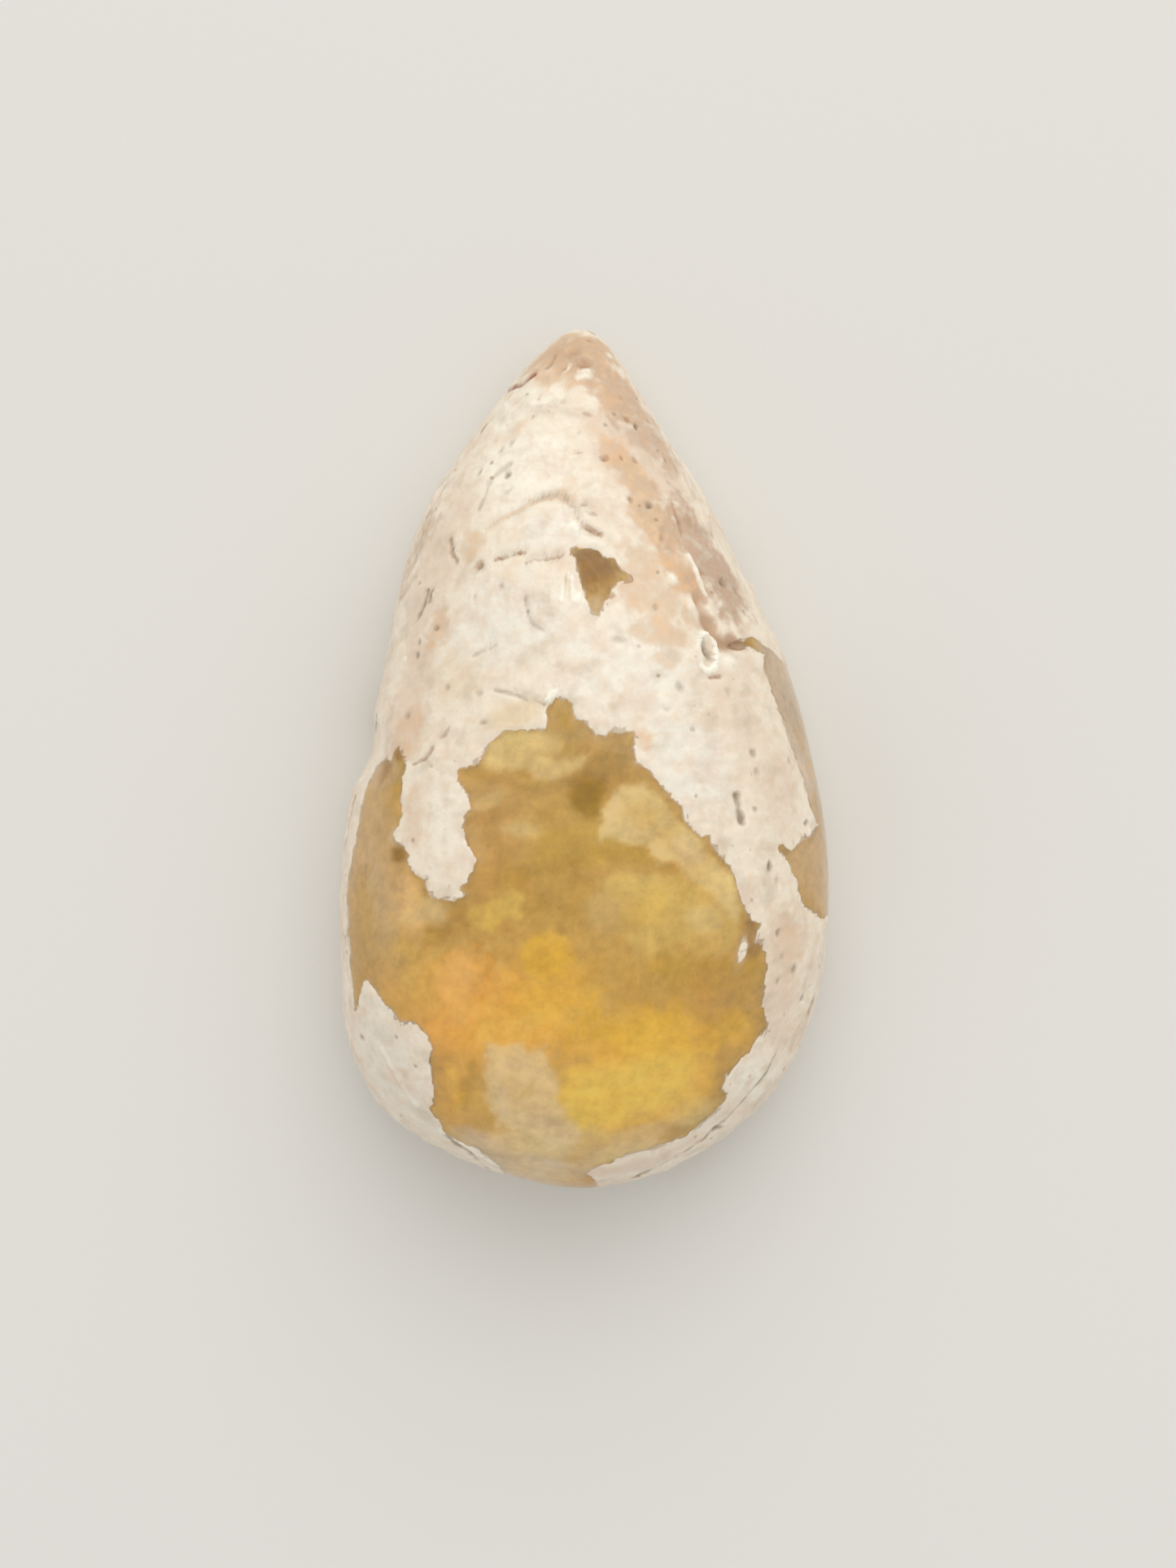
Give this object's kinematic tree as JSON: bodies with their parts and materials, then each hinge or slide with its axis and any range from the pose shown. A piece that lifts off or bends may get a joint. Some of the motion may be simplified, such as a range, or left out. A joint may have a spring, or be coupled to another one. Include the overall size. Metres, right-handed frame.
{
  "type": "cantera opal cabochon",
  "caption": "Pear-shaped cabochon of honey-coloured precious opal in cream volcanic matrix, with a high polished dome and a flat back.",
  "frame": {"origin": "centre of the bounding box in X and Y, on the flat back in Z", "axes": "+Y towards the pointed end, +Z out of the dome, +X to the right seen from above"},
  "size_m": [0.0114, 0.02, 0.0068],
  "materials": {
    "rhyolite": "polished cream volcanic matrix with tan stains and fine pores",
    "opal": "polished see-through honey-coloured opal"
  },
  "bodies": {
    "root": {"cabochon": "rhyolite"}
  },
  "joints": []
}
